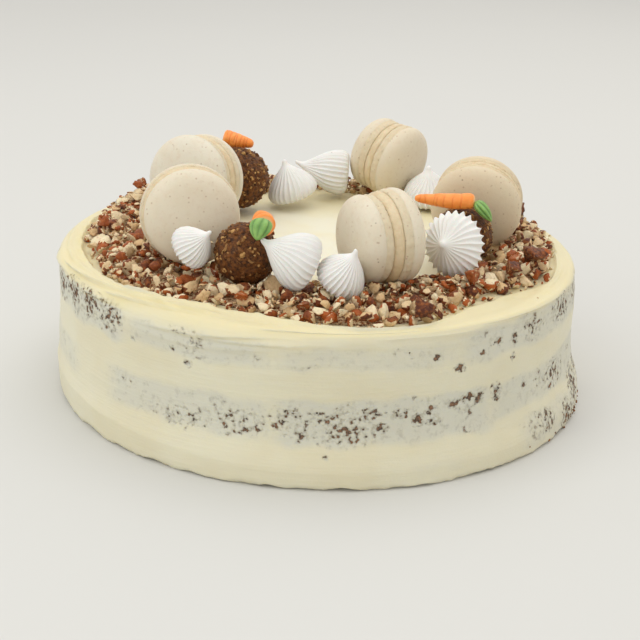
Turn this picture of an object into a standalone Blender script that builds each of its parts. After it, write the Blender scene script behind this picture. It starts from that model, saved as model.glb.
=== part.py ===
"""Carrot cake: three sponge layers and two fillings in a coat of cream frosting, ringed with chopped pecans.

Macarons, date balls with little fondant carrots, and piped meringue kisses stand in a ring on top.
Metres, +Z up. The origin is the middle of the underside.
"""

import math

import bmesh
import bpy
from mathutils import Matrix, Vector, noise
from mathutils.bvhtree import BVHTree

# Driving dimensions of the cake
CAKE_HEIGHT = 0.0609
FOOT_RADIUS = 0.1163
WALL_RADIUS = 0.1118
TOP_LEAN = -0.0033
FOOT_HEIGHT = 0.0018
CAVITY_FOOT_RADIUS = 0.1098
CAVITY_TOP_RADIUS = 0.1080
CAVITY_HEIGHT = 0.0573
CAKE_SEGMENTS = 48
GAP = 0.0003

# Layers from the board up: name, underside, top
LAYERS = (
    ("sponge_bottom", 0.0000, 0.0128),
    ("filling_lower", 0.0131, 0.0169),
    ("sponge_middle", 0.0172, 0.0345),
    ("filling_upper", 0.0348, 0.0455),
    ("sponge_top", 0.0458, 0.0570),
)

# Nut border
NUT_INNER_RADIUS = 0.0770
NUT_OUTER_RADIUS = 0.1025
NUT_HEIGHT = 0.0056
NUT_SEGMENTS = 72
NUT_ROWS = 6
BED_HEIGHT = 0.0012
TOPPING_CLEARANCE = 0.0008

# Macarons: place on the top, facing and tilt in degrees, front and back radius, shell and filling height
MACARON_SEGMENTS = 24
FILLING_SEGMENTS = 16
MACARONS = (
    ("macaron_back_left", (-0.0580, 0.0170), -117, 10, 0.0203, 0.0203, 0.0105, 0.0046),
    ("macaron_front_left", (-0.0542, -0.0402), -79, 10, 0.0186, 0.0204, 0.0102, 0.0046),
    ("macaron_front", (0.0216, -0.0556), -155, -2, 0.0179, 0.0192, 0.0124, 0.0040),
    ("macaron_right", (0.0655, -0.0005), -102, -10, 0.0195, 0.0190, 0.0100, 0.0038),
    ("macaron_back", (0.0300, 0.0790), -37, -12, 0.0184, 0.0176, 0.0127, 0.0042),
)

# Meringue kisses: middle of the base, tip direction and tilt in degrees, radius, height, bend of the tip,
# and how far the kiss is held above the bed of nuts
MERINGUE_RIDGES = 20
MERINGUES = (
    ("meringue_front_left", (-0.0534, -0.0624), -25, 39, 0.0087, 0.0150, 0.0010, 0.0065),
    ("meringue_front_large", (-0.0054, -0.0738), -167, 27, 0.0114, 0.0226, 0.0010, 0.0025),
    ("meringue_front_small", (0.0051, -0.0752), -36, 54, 0.0096, 0.0178, 0.0010, 0.0016),
    ("meringue_front_right", (0.0530, -0.0460), -126, 10, 0.0137, 0.0130, 0.0008, 0.0007),
    ("meringue_back_right", (0.0494, 0.0640), -105, 76, 0.0118, 0.0180, 0.0010, 0.0),
    ("meringue_back_large", (0.0105, 0.0765), 180, 3, 0.0107, 0.0265, 0.0012, 0.0),
    ("meringue_back_left", (-0.0150, 0.0575), -170, 70, 0.0118, 0.0190, 0.0008, 0.0),
)

# Date balls: place on the top, radius
DATE_BALLS = (
    ("date_ball_front", (-0.0304, -0.0620), 0.0127),
    ("date_ball_back", (-0.0410, 0.0460), 0.0145),
    ("date_ball_right", (0.0578, -0.0250), 0.0125),
)

# Fondant carrots: tip, crown, radius at the crown
CARROT_SEGMENTS = 12
CARROTS = (
    ("carrot_front", (-0.0256, -0.0604, 0.0898), (-0.0228, -0.0732, 0.0910), 0.0045),
    ("carrot_back", (-0.0351, 0.0568, 0.0899), (-0.0494, 0.0572, 0.0933), 0.0039),
    ("carrot_right", (0.0364, -0.0275, 0.0900), (0.0609, -0.0309, 0.0906), 0.0033),
)

# Leaves: stalk end, tip, half width
LEAVES = (
    ("carrot_leaf_front", (-0.0231, -0.0762, 0.0912), (-0.0253, -0.0804, 0.0863), 0.0040),
    ("carrot_leaf_back", (-0.0530, 0.0540, 0.0920), (-0.0575, 0.0550, 0.0850), 0.0036),
    ("carrot_leaf_right", (0.0629, -0.0318, 0.0893), (0.0693, -0.0334, 0.0820), 0.0030),
)


def clear_scene():
    for thing in list(bpy.data.objects):
        bpy.data.objects.remove(thing, do_unlink=True)


def material(name, colour, roughness):
    made = bpy.data.materials.new(name)
    made.use_nodes = True
    shader = made.node_tree.nodes["Principled BSDF"]
    shader.inputs["Base Color"].default_value = (*colour, 1.0)
    shader.inputs["Roughness"].default_value = roughness
    shader.inputs["Metallic"].default_value = 0.0
    return made


def add_object(name, bm, finish):
    bmesh.ops.recalc_face_normals(bm, faces=bm.faces)
    mesh = bpy.data.meshes.new(name)
    bm.to_mesh(mesh)
    bm.free()
    mesh.materials.append(finish)
    mesh.shade_smooth()
    mesh.set_sharp_from_angle(angle=math.radians(50))
    thing = bpy.data.objects.new(name, mesh)
    bpy.context.scene.collection.objects.link(thing)
    return thing


def turned(profile, segments):
    """A solid of revolution about +Z. The profile is (radius, height) pairs, from one end to the other."""
    bm = bmesh.new()
    points = [bm.verts.new((radius, 0.0, height)) for radius, height in profile]
    edges = [bm.edges.new(pair) for pair in zip(points, points[1:])]
    bmesh.ops.spin(
        bm,
        geom=points + edges,
        cent=(0, 0, 0),
        axis=(0, 0, 1),
        angle=math.tau,
        steps=segments,
        use_duplicate=False,
    )
    bmesh.ops.remove_doubles(bm, verts=bm.verts, dist=0.00001)
    return bm


def aim(thing, azimuth, tilt):
    """Turns the object's +Z to the azimuth and tilt, in degrees, with its +Y as near upright as it can be."""
    level = math.cos(math.radians(tilt))
    direction = Vector(
        (
            level * math.cos(math.radians(azimuth)),
            level * math.sin(math.radians(azimuth)),
            math.sin(math.radians(tilt)),
        )
    )
    thing.rotation_mode = "QUATERNION"
    thing.rotation_quaternion = direction.to_track_quat("Z", "Y")


def lowest(things):
    bpy.context.view_layer.update()
    return min((thing.matrix_world @ vertex.co).z for thing in things for vertex in thing.data.vertices)


def rest_on(things, height):
    """Moves the things up or down together until their lowest point is at the height."""
    rise = height - lowest(things)
    for thing in things:
        thing.location.z += rise


def lean(height):
    """How far the cake's middle has moved sideways at a height. The foot itself stands square."""
    return TOP_LEAN * max(0.0, height - FOOT_HEIGHT) / (CAKE_HEIGHT - FOOT_HEIGHT)


def wall_radius(height):
    """Radius of the frosted side: nearly upright, swelling into a foot at the board."""
    flare_height = 0.0138
    flare_softness = 0.0033
    flare = (FOOT_RADIUS - WALL_RADIUS) / (1 + math.exp((height - flare_height) / flare_softness))
    return min(FOOT_RADIUS, WALL_RADIUS + 0.0005 * (1 - height / CAKE_HEIGHT) + flare)


def cavity_radius(height):
    """Radius of the straight cone inside the frosting, which the layers fill."""
    return CAVITY_FOOT_RADIUS + (CAVITY_TOP_RADIUS - CAVITY_FOOT_RADIUS) * height / CAVITY_HEIGHT


def leaned(bm):
    for vertex in bm.verts:
        vertex.co.x += lean(vertex.co.z)
    return bm


def build_layers(finishes):
    """Each layer is a full disc that runs right through the cake."""
    for name, low, high in LAYERS:
        profile = (
            (0.0, low),
            (cavity_radius(low) - GAP, low),
            (cavity_radius(high) - GAP, high),
            (0.0, high),
        )
        add_object(name, leaned(turned(profile, CAKE_SEGMENTS)), finishes[name.split("_")[0]])


def build_frosting(finish):
    """A deep cap of cream over the layers: foot, side, rounded rim with a low lip, and a flat top."""
    foot = [(FOOT_RADIUS - 0.0013, 0.0), (FOOT_RADIUS, FOOT_HEIGHT)]
    side = [(wall_radius(height), height) for height in (0.0090, 0.0130, 0.0180, 0.0280, 0.0410, 0.0530)]
    rim = [(0.1112, 0.0565), (0.1098, 0.0592), (0.1084, 0.0606), (0.1068, CAKE_HEIGHT + 0.0004)]
    top = [(0.1056, CAKE_HEIGHT), (0.0, CAKE_HEIGHT)]
    cavity = [(0.0, CAVITY_HEIGHT), (CAVITY_TOP_RADIUS, CAVITY_HEIGHT), (CAVITY_FOOT_RADIUS, 0.0)]
    bm = turned(cavity + foot + side + rim + top, CAKE_SEGMENTS)
    return add_object("frosting", leaned(bm), finish)


def macaron_shell(radius, height):
    """Ruffled foot, then a full dome, flat side down at height 0."""
    foot_height = 0.26 * height
    profile = [(0.0, 0.0), (0.955 * radius, 0.0), (radius, 0.5 * foot_height), (0.975 * radius, foot_height)]
    for turn in (36, 66):
        angle = math.radians(turn)
        rise = foot_height + (height - foot_height) * math.sin(angle) ** 0.9
        profile.append((0.975 * radius * math.cos(angle) ** 0.62, rise))
    profile.append((0.0, height))
    return turned(profile, MACARON_SEGMENTS)


def build_macarons(finishes):
    made = []
    for name, place, azimuth, tilt, front_radius, back_radius, shell_height, filling_height in MACARONS:
        front = macaron_shell(front_radius, shell_height)
        bmesh.ops.translate(front, verts=front.verts, vec=(0, 0, filling_height / 2 + GAP))
        back = macaron_shell(back_radius, shell_height)
        bmesh.ops.rotate(back, verts=back.verts, cent=(0, 0, 0), matrix=Matrix.Rotation(math.pi, 3, "Y"))
        bmesh.ops.translate(back, verts=back.verts, vec=(0, 0, -filling_height / 2 - GAP))
        cream_radius = 0.90 * min(front_radius, back_radius)
        half = filling_height / 2
        squeezed = 1.03 * cream_radius
        outline = ((0, -half), (cream_radius, -half), (squeezed, 0), (cream_radius, half), (0, half))
        cream = turned(outline, FILLING_SEGMENTS)
        pieces = [
            add_object(name + "_front_shell", front, finishes["macaron"]),
            add_object(name + "_filling", cream, finishes["macaron_filling"]),
            add_object(name + "_back_shell", back, finishes["macaron"]),
        ]
        for piece in pieces:
            aim(piece, azimuth, tilt)
            piece.location = (place[0], place[1], 0.0)
        rest_on(pieces, CAKE_HEIGHT + BED_HEIGHT)
        made += pieces
    return made


def build_meringues(finish):
    """Star-tip kisses: a flat base, a fluted body and a point drawn out to one side."""
    shape = ((0.0, 0.0), (0.90, 0.0), (1.0, 0.15), (0.87, 0.41), (0.36, 0.74), (0.0, 1.0))
    flute_depth = 0.055
    made = []
    for name, place, azimuth, tilt, radius, height, bend, rise in MERINGUES:
        bm = turned([(radius * across, height * up) for across, up in shape], 2 * MERINGUE_RIDGES)
        for vertex in bm.verts:
            turn = math.atan2(vertex.co.y, vertex.co.x)
            flute = 1 + flute_depth * math.cos(MERINGUE_RIDGES * turn)
            vertex.co.x *= flute
            vertex.co.y *= flute
            vertex.co.y += bend * (vertex.co.z / height) ** 3
        kiss = add_object(name, bm, finish)
        aim(kiss, azimuth, tilt)
        kiss.location = (place[0], place[1], 0.0)
        rest_on([kiss], CAKE_HEIGHT + BED_HEIGHT + rise)
        made.append(kiss)
    return made


def build_date_balls(finish):
    """Hand-rolled balls, a little uneven."""
    unevenness = 0.03
    made = []
    for name, place, radius in DATE_BALLS:
        bm = bmesh.new()
        bmesh.ops.create_icosphere(bm, subdivisions=3, radius=radius)
        for vertex in bm.verts:
            lump = noise.noise(vertex.co * 110 + Vector(place).to_3d() * 90)
            vertex.co *= 1 + unevenness * lump
        ball = add_object(name, bm, finish)
        ball.location = (place[0], place[1], 0.0)
        rest_on([ball], CAKE_HEIGHT + BED_HEIGHT)
        made.append(ball)
    return made


def build_carrots(finish):
    """Rolled fondant cones with a rounded crown and a blunt tip."""
    shape = (
        (0.0, 0.0),
        (0.30, 0.012),
        (0.48, 0.07),
        (0.70, 0.32),
        (0.93, 0.62),
        (1.0, 0.80),
        (0.86, 0.94),
        (0.45, 0.99),
        (0.0, 1.0),
    )
    made = []
    for name, tip, crown, radius in CARROTS:
        length = (Vector(crown) - Vector(tip)).length
        profile = [(radius * across, length * along) for across, along in shape]
        carrot = add_object(name, turned(profile, CARROT_SEGMENTS), finish)
        carrot.rotation_mode = "QUATERNION"
        carrot.rotation_quaternion = (Vector(crown) - Vector(tip)).to_track_quat("Z", "Y")
        carrot.location = tip
        made.append(carrot)
    return made


def build_leaves(finish):
    """Short piped leaves with a ribbed back."""
    ribs = 5
    rib_depth = 0.12
    flatness = 0.62
    shape = ((0.0, 0.0), (0.62, 0.02), (1.0, 0.28), (0.92, 0.55), (0.55, 0.84), (0.0, 1.0))
    made = []
    for name, stalk, tip, half_width in LEAVES:
        length = (Vector(tip) - Vector(stalk)).length
        bm = turned([(half_width * across, length * along) for across, along in shape], 2 * ribs)
        for vertex in bm.verts:
            rib = 1 + rib_depth * math.cos(ribs * math.atan2(vertex.co.y, vertex.co.x))
            vertex.co.x *= rib
            vertex.co.y *= rib * flatness
        leaf = add_object(name, bm, finish)
        leaf.rotation_mode = "QUATERNION"
        leaf.rotation_quaternion = (Vector(tip) - Vector(stalk)).to_track_quat("Z", "Y")
        leaf.location = stalk
        made.append(leaf)
    return made


def underside_above(toppings):
    """A search tree of every topping, to find how much room there is below them."""
    bpy.context.view_layer.update()
    points = []
    faces = []
    for topping in toppings:
        first = len(points)
        points += [topping.matrix_world @ vertex.co for vertex in topping.data.vertices]
        faces += [tuple(first + index for index in face.vertices) for face in topping.data.polygons]
    return BVHTree.FromPolygons(points, faces)


def room_at(tree, x, y, reach):
    """Height of the lowest topping over a small square around the point."""
    found = CAKE_HEIGHT + 1.0
    for step_x in (-1, -0.5, 0, 0.5, 1):
        for step_y in (-1, -0.5, 0, 0.5, 1):
            start = Vector((x + step_x * reach, y + step_y * reach, CAKE_HEIGHT - 0.001))
            hit = tree.ray_cast(start, Vector((0, 0, 1)))[0]
            if hit is not None:
                found = min(found, hit.z)
    return found


def build_pecan_ring(toppings, finish):
    """The border of chopped nuts as one uneven heap, banked up to the toppings and dipping under them."""
    tree = underside_above(toppings)
    floor = CAKE_HEIGHT + GAP
    thinnest = 0.0004
    reach = 0.0042
    bm = bmesh.new()
    sections = []
    for step in range(NUT_SEGMENTS):
        turn = math.tau * step / NUT_SEGMENTS
        wander = Vector((2.2 * math.cos(turn), 2.2 * math.sin(turn), 0.0))
        inner = NUT_INNER_RADIUS + 0.0022 * noise.noise(wander + Vector((0, 0, 4.0)))
        outer = NUT_OUTER_RADIUS + 0.0024 * noise.noise(1.6 * wander + Vector((0, 0, 9.0)))
        section = []
        for row in range(NUT_ROWS):
            across = row / (NUT_ROWS - 1)
            radius = inner + (outer - inner) * across
            x = radius * math.cos(turn) + TOP_LEAN
            y = radius * math.sin(turn)
            heap = math.sin(math.pi * (0.14 + 0.72 * across)) ** 0.5
            heap *= 1 + 0.28 * noise.noise(Vector((x, y, 0.0)) * 90)
            if row in (0, NUT_ROWS - 1):
                heap *= 0.35
            height = min(floor + NUT_HEIGHT * heap, room_at(tree, x, y, reach) - TOPPING_CLEARANCE)
            height = max(height, floor + thinnest)
            section.append(bm.verts.new((x, y, height)))
        section.insert(0, bm.verts.new((section[0].co.x, section[0].co.y, floor)))
        section.append(bm.verts.new((section[-1].co.x, section[-1].co.y, floor)))
        sections.append(section)
    for section, following in zip(sections, sections[1:] + sections[:1]):
        count = len(section)
        for index in range(count):
            beyond = (index + 1) % count
            bm.faces.new((section[index], following[index], following[beyond], section[beyond]))
    return add_object("pecan_ring", bm, finish)


def main():
    clear_scene()
    finishes = {
        "sponge": material("sponge", (0.30, 0.17, 0.08), 0.9),
        "filling": material("filling", (0.84, 0.78, 0.60), 0.5),
        "frosting": material("frosting", (0.84, 0.78, 0.58), 0.5),
        "pecans": material("pecans", (0.38, 0.22, 0.10), 0.7),
        "macaron": material("macaron", (0.66, 0.55, 0.40), 0.7),
        "macaron_filling": material("macaron_filling", (0.72, 0.58, 0.34), 0.5),
        "date_ball": material("date_ball", (0.07, 0.03, 0.015), 0.6),
        "carrot": material("carrot", (0.86, 0.25, 0.05), 0.45),
        "leaf": material("leaf", (0.16, 0.38, 0.08), 0.5),
        "meringue": material("meringue", (0.87, 0.86, 0.83), 0.6),
    }
    build_layers(finishes)
    build_frosting(finishes["frosting"])
    toppings = build_macarons(finishes)
    toppings += build_meringues(finishes["meringue"])
    toppings += build_date_balls(finishes["date_ball"])
    toppings += build_carrots(finishes["carrot"])
    toppings += build_leaves(finishes["leaf"])
    build_pecan_ring(toppings, finishes["pecans"])


main()
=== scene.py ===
"""Carrot cake: a scraped coat of cream over spiced sponge, ringed with chopped pecans.

Macarons, meringue kisses and date balls with little fondant carrots stand in the nuts.
"""

import math
import random

import bpy
import numpy as np
from mathutils import Matrix, Vector, noise
from mathutils.bvhtree import BVHTree


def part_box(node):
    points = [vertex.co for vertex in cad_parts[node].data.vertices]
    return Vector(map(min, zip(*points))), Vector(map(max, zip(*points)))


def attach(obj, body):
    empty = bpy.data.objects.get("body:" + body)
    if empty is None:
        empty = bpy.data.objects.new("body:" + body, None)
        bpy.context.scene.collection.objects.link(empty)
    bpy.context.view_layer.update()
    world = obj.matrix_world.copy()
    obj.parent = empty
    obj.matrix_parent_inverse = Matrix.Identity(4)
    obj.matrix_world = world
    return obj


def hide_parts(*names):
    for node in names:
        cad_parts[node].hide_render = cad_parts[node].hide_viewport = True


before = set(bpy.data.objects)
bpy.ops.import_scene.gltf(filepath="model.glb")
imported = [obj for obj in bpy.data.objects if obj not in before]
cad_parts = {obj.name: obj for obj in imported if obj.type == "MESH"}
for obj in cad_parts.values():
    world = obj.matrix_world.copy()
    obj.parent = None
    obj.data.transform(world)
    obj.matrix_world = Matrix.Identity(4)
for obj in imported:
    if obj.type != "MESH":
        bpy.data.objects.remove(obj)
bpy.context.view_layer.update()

MM = 0.001
UP = Vector((0, 0, 1))


# ---------------------------------------------------------------- materials


class Wire:
    """A socket that can be used in sums: each sum adds its Math node."""

    def __init__(self, finish, socket):
        self.finish = finish
        self.socket = socket

    def sum(self, operation, first, second):
        return self.finish.node("ShaderNodeMath", {"operation": operation}, {0: first, 1: second})

    def __add__(self, other):
        return self.sum("ADD", self, other)

    def __sub__(self, other):
        return self.sum("SUBTRACT", self, other)

    def __rsub__(self, other):
        return self.sum("SUBTRACT", other, self)

    def __mul__(self, other):
        return self.sum("MULTIPLY", self, other)

    __radd__ = __add__
    __rmul__ = __mul__


def tone(red, green, blue):
    """A colour given as 0 to 255 on a screen, as the linear light that shaders take."""
    def linear(level):
        level /= 255
        return level / 12.92 if level <= 0.04045 else ((level + 0.055) / 1.055) ** 2.4
    return (linear(red), linear(green), linear(blue), 1.0)


class Finish:
    """A material in the making. Its colours are given as 0 to 255 on a screen, and sizes in metres."""

    def __init__(self, name, **constants):
        self.material = bpy.data.materials.new(name)
        self.material.use_nodes = True
        self.tree = self.material.node_tree
        self.shader = self.tree.nodes["Principled BSDF"]
        for socket, value in constants.items():
            self.shader.inputs[socket.replace("_", " ")].default_value = value
        self.place = self.node("ShaderNodeTexCoord", {}, {}, out="Object")
        self.colour = None

    def node(self, kind, settings, inputs, out=0):
        """Adds a node: its settings first, then the values or links of its sockets."""
        made = self.tree.nodes.new(kind)
        for setting, value in settings.items():
            setattr(made, setting, value)
        for socket, value in inputs.items():
            self.put(made.inputs[socket], value)
        return Wire(self, made.outputs[out])

    def put(self, socket, value):
        if isinstance(value, Wire):
            self.tree.links.new(value.socket, socket)
        else:
            socket.default_value = value

    def scaled(self, scale, shift):
        """The place on the surface, scaled, and shifted so that no two patterns agree."""
        inputs = {"Vector": self.place, "Location": (shift,) * 3, "Scale": scale}
        return self.node("ShaderNodeMapping", {}, inputs)

    def spots(self, size, detail=2.0, rough=0.5, shift=0.0, stretch=(1, 1, 1)):
        """Soft noise whose lumps are about the size given."""
        where = self.scaled(tuple(1 / (size * part) for part in stretch), shift)
        inputs = {"Vector": where, "Scale": 1.0, "Detail": detail, "Roughness": rough}
        return self.node("ShaderNodeTexNoise", {}, inputs)

    def cells(self, size, shift=0.0):
        """Distance to the nearest of a scatter of points about the size apart."""
        where = self.scaled((1 / size,) * 3, shift)
        return self.node("ShaderNodeTexVoronoi", {}, {"Vector": where, "Scale": 1.0}, out="Distance")

    def held(self, name):
        """A number that is kept on the points or faces of the mesh."""
        return self.node("ShaderNodeAttribute", {"attribute_name": name}, {}, out="Fac")

    def upness(self):
        """How far the surface faces up, from -1 to 1."""
        facing = self.node("ShaderNodeNewGeometry", {}, {}, out="Normal")
        return self.node("ShaderNodeSeparateXYZ", {}, {0: facing}, out="Z")

    def ease(self, value, low, high):
        """0 up to low, 1 from high, smooth between."""
        inputs = {"Value": value, "From Min": low, "From Max": high}
        return self.node("ShaderNodeMapRange", {"interpolation_type": "SMOOTHSTEP"}, inputs)

    def patches(self, low, high, *noise):
        """Patches where the noise rises from low to high."""
        return self.ease(self.spots(*noise), low, high)

    def blend(self, share, first, second):
        """The first colour where the share is 0, the second where it is 1."""
        first, second = (colour if isinstance(colour, Wire) else tone(*colour) for colour in (first, second))
        return self.node("ShaderNodeMix", {"data_type": "RGBA"}, {0: share, 6: first, 7: second}, out=2)

    def paint(self, share, *colour):
        """Lays a colour over what is painted already."""
        self.colour = self.blend(share, self.colour, colour)

    def done(self, relief=None, depth=0.0, rough=None):
        """Links the colour, the relief and what varies in roughness to the shader."""
        self.put(self.shader.inputs["Base Color"], self.colour)
        if rough:
            self.put(self.shader.inputs["Roughness"], rough)
        if relief:
            bump = self.node("ShaderNodeBump", {}, {"Height": relief, "Distance": depth, "Strength": 1.0})
            self.put(self.shader.inputs["Normal"], bump)
        return self.material


def cream_finish():
    """Spread cream: grey where the sponge shows through, brown where it is scraped off."""
    cream = Finish("cream_coat", Subsurface_Weight=0.25, Subsurface_Scale=0.006, Specular_IOR_Level=0.35)
    cream.shader.inputs["Subsurface Radius"].default_value = (1.0, 0.8, 0.45)
    # Painted light and shade: the open middle of the top is painted paler, and the cream towards the rim
    # darker and yellower, where the toppings shade it
    cream.colour = cream.blend(cream.held("middle"), (223, 212, 173), (236, 230, 207))
    cream.paint(cream.patches(0.45, 0.75, 0.022, 2.0, 0.5, 4.0) * 0.3, 229, 212, 161)
    side = cream.blend(cream.patches(0.35, 0.65, 0.030), (225, 219, 193), (222, 214, 185))
    cream.colour = cream.blend(cream.ease(cream.upness(), 0.25, 0.95), side, cream.colour)
    mottle = (cream.spots(0.0055, 3.0, 0.6, 3.0) - 0.5) * 0.45
    thin = cream.ease(cream.held("veil") + mottle, 0.10, 1.0)
    cream.paint(thin * 0.75, 206, 205, 192)
    cream.paint(cream.patches(0.50, 0.72, 0.0030, 3.0, 0.65, 13.0) * thin * 0.40, 160, 154, 139)

    # Holes cluster where the scraper went deepest, each in a soft grey halo
    bare = cream.held("bare")
    near = cream.ease(bare, 0.02, 0.12)
    holes = cream.spots(0.0019, 1.6, 0.5, 7.0) + bare * 0.185
    halo = cream.ease(holes, 0.46, 0.68) * near
    cream.paint(halo * 0.46, 142, 133, 114)
    open_crumb = cream.ease(holes, 0.645, 0.705) * near
    grain = cream.spots(0.0013, 4.0, 0.65, 11.0)
    crumb = cream.blend(cream.ease(grain, 0.40, 0.60), (68, 50, 40), (138, 98, 70))
    crumb = cream.blend(cream.patches(0.58, 0.68, 0.004, 1.0, 0.5, 15.0) * 0.5, crumb, (150, 94, 54))
    cream.colour = cream.blend(open_crumb * 0.9, cream.colour, crumb)
    # Painted shade: the creases at the foot of the knife strokes and by the nuts at the back left are painted
    # yellower and darker
    cream.paint(cream.held("crease_shade") * 0.38, 226, 210, 146)
    sweep = cream.spots(0.0012, 2.0, 0.5, 9.0, stretch=(14, 14, 1))
    relief = cream.spots(0.0009, 3.0, 0.6, 5.0) * 0.2 + sweep * 0.35 - halo * 0.6
    relief -= open_crumb * (1.6 + grain * 1.5)
    return cream.done(relief, 0.0004, 0.46 + open_crumb * 0.4 + thin * 0.08)


def crumb_finish():
    """Open spiced sponge with flecks of carrot and nut."""
    sponge = Finish("spiced_sponge", Roughness=0.9)
    grain = sponge.spots(0.0022, 5.0, 0.65)
    pores = sponge.cells(0.0028, 2.0)
    sponge.colour = sponge.blend(sponge.ease(grain, 0.35, 0.65), (96, 56, 34), (168, 116, 70))
    sponge.paint(sponge.patches(0.70, 0.74, 0.0035, 1.0, 0.5, 8.0), 196, 104, 40)
    # Painted shade: the pores are painted dark, as shade in their hollows
    sponge.paint(sponge.ease(pores, 0.30, 0.12) * 0.7, 60, 34, 22)
    return sponge.done(grain + pores, 0.0008)


def filling_finish(name, light, dark):
    """Soft butter cream between layers or shells."""
    filling = Finish(name, Roughness=0.5, Subsurface_Weight=0.1, Subsurface_Scale=0.002)
    filling.colour = filling.blend(filling.patches(0.3, 0.7, 0.004, 3.0), dark, light)
    return filling.done(filling.spots(0.0012, 3.0, 0.6, 4.0), 0.0004)


def shell_finish():
    """Baked macaron shell: smooth and dull, crazed on its ruffled foot, with dark specks of bean."""
    shell = Finish("macaron_shell", Subsurface_Weight=0.06, Subsurface_Scale=0.002, Specular_IOR_Level=0.3)
    shell.colour = shell.blend(shell.held("tint"), (224, 217, 199), (219, 202, 172))
    shell.paint(shell.patches(0.40, 0.75, 0.010, 3.0) * 0.3, 214, 196, 166)
    foot = shell.held("foot")
    shell.paint(foot * 0.45, 222, 201, 160)
    specks = shell.ease(shell.cells(0.0023, 5.0), 0.22, 0.10)
    shell.paint(specks * shell.patches(0.42, 0.58, 0.004, 2.0, 0.5, 3.0) * 0.5, 168, 134, 104)
    uneven = (shell.spots(0.0050, 2.0, 0.5, 14.0) - 0.5) * 0.22
    dots = shell.ease(shell.cells(0.0046, 1.0) + uneven, 0.08, 0.035)
    shell.paint(dots * shell.patches(0.51, 0.57, 0.006, 2.0, 0.5, 6.0) * 0.5, 112, 86, 62)
    shell.paint(shell.patches(0.50, 0.72, 0.0020, 3.0, 0.6, 17.0) * 0.22, 204, 180, 150)
    relief = shell.spots(0.0007, 3.0, 0.6, 2.0) * 0.4 + shell.spots(0.0030, 2.0, 0.5, 9.0) * 0.5
    relief += foot * shell.spots(0.0009, 4.0, 0.7, 12.0) * 1.6
    return shell.done(relief, 0.00025, 0.5 + foot * 0.3)


def meringue_finish():
    """Dry white meringue, with painted shade in its grooves."""
    meringue = Finish("dry_meringue", Roughness=0.62, Subsurface_Weight=0.1, Specular_IOR_Level=0.25)
    meringue.shader.inputs["Subsurface Scale"].default_value = 0.002
    meringue.colour = meringue.blend(meringue.patches(0.3, 0.7, 0.006), (241, 240, 237), (236, 235, 231))
    # Painted shade: the grooves between the flutes are painted grey
    meringue.paint(meringue.held("groove") * 0.35, 218, 214, 206)
    meringue.paint(meringue.ease(meringue.cells(0.0075, 4.0), 0.035, 0.02) * 0.6, 120, 110, 104)
    return meringue.done(meringue.spots(0.0006, 3.0, 0.6), 0.00008)


def pecan_finish():
    """Chopped pecan: ivory where it is cut, thin red-brown skin outside."""
    pecan = Finish("chopped_pecan", Subsurface_Weight=0.05, Subsurface_Scale=0.0015, Specular_IOR_Level=0.35)
    tint = pecan.held("tint")
    streak = pecan.spots(0.0016, 4.0, 0.6)
    flesh = pecan.blend(pecan.ease(tint, 0.0, 1.0), (252, 234, 196), (226, 190, 140))
    flesh = pecan.blend(pecan.ease(streak, 0.54, 0.74) * 0.50, flesh, (178, 136, 90))
    brown = pecan.blend(pecan.ease(tint, 0.10, 0.85), (178, 88, 31), (86, 37, 14))
    brown = pecan.blend(pecan.ease(streak, 0.40, 0.70) * 0.5, brown, (204, 118, 52))
    uneven = (pecan.spots(0.0012, 3.0, 0.6, 5.0) - 0.5) * 0.8
    edge = pecan.ease(pecan.held("skin") + uneven, 0.42, 0.58)
    pecan.colour = pecan.blend(edge, flesh, brown)
    grain = pecan.spots(0.0006, 4.0, 0.65, 3.0)
    return pecan.done(grain + streak * 1.5, 0.0006, 0.62 - edge * 0.24)


def date_finish():
    """Sticky date paste with chopped bits: each bit keeps its own tint, from dark fruit to pale nut."""
    date = Finish("date_paste", Specular_IOR_Level=0.32)
    tint = date.held("tint")
    grain = date.spots(0.0016, 5.0, 0.65)
    date.colour = date.blend(date.ease(grain, 0.36, 0.62), (62, 32, 9), (122, 72, 26))
    date.paint(date.patches(0.56, 0.68, 0.0012, 4.0, 0.7, 8.0) * 0.7, 150, 104, 56)
    nut = date.blend(date.ease(tint, 0.35, 1.0), (120, 74, 30), (208, 162, 98))
    nut = date.blend(date.ease(grain, 0.42, 0.66) * 0.5, nut, (158, 108, 64))
    date.colour = date.blend(date.ease(tint, 0.20, 0.35), date.colour, nut)
    relief = grain * 2.0 + date.spots(0.0007, 4.0, 0.7, 2.0)
    return date.done(relief, 0.0005, 0.42 + grain * 0.3)


def fondant_finish(name, light, dark, line, pale):
    """Kneaded fondant, with painted shade darkening its scored lines, and paler at the cut crown, partly a
    painted highlight.
    """
    fondant = Finish(name, Roughness=0.42, Subsurface_Weight=0.15, Subsurface_Scale=0.002)
    fondant.colour = fondant.blend(fondant.patches(0.3, 0.7, 0.004, 3.0), light, dark)
    # Painted shade: the scored lines and grooves are painted darker
    fondant.paint(fondant.held("groove") * 0.7, *line)
    # Paler at the cut crown, partly a painted highlight
    fondant.paint(fondant.held("crown") * 0.9, *pale)
    return fondant.done(fondant.spots(0.0010, 3.0, 0.6, 3.0), 0.00015)


def floor_finish():
    """Pale matt floor."""
    floor = Finish("pale_floor", Roughness=0.85, Specular_IOR_Level=0.2)
    floor.colour = floor.blend(floor.spots(0.5, 2.0), (210, 209, 205), (213, 212, 208))
    return floor.done()


# ---------------------------------------------------------------- modelling helpers


def basic(add, **settings):
    """Adds one of Blender's own meshes, the only thing selected."""
    bpy.ops.object.select_all(action="DESELECT")
    add(**settings)
    return bpy.context.object


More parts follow.
